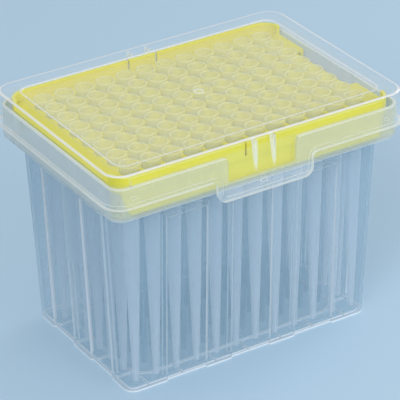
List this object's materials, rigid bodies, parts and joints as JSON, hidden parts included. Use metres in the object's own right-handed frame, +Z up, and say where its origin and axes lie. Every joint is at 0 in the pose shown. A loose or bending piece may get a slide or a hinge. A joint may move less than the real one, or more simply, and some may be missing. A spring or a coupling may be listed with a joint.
{
  "type": "box of pipette tips",
  "caption": "Clear-lidded translucent box with a yellow perforated tray full of long milky pipette tips; the lid lifts off upwards.",
  "frame": {"origin": "middle of the foot of the box, on the surface it stands on", "axes": "+X along the long side, +Y from the front to the back, +Z up"},
  "size_m": [0.1312, 0.093, 0.0987],
  "materials": {
    "translucent_plastic": "smooth, slightly milky",
    "clear_plastic": "clear and glossy",
    "yellow_plastic": "satin",
    "tip_plastic": "milky"
  },
  "bodies": {
    "box": {"base": "translucent_plastic", "tray": "yellow_plastic", "tips_column_01": "tip_plastic", "tips_column_02": "tip_plastic", "tips_column_03": "tip_plastic", "tips_column_04": "tip_plastic", "tips_column_05": "tip_plastic", "tips_column_06": "tip_plastic", "tips_column_07": "tip_plastic", "tips_column_08": "tip_plastic", "tips_column_09": "tip_plastic", "tips_column_10": "tip_plastic", "tips_column_11": "tip_plastic", "tips_column_12": "tip_plastic"},
    "lid": {"lid": "clear_plastic"}
  },
  "joints": [
    {"name": "lid_lift", "type": "slide", "parent": "box", "child": "lid", "axis": [0, 0, 1], "range_m": [0, 0.1]}
  ]
}
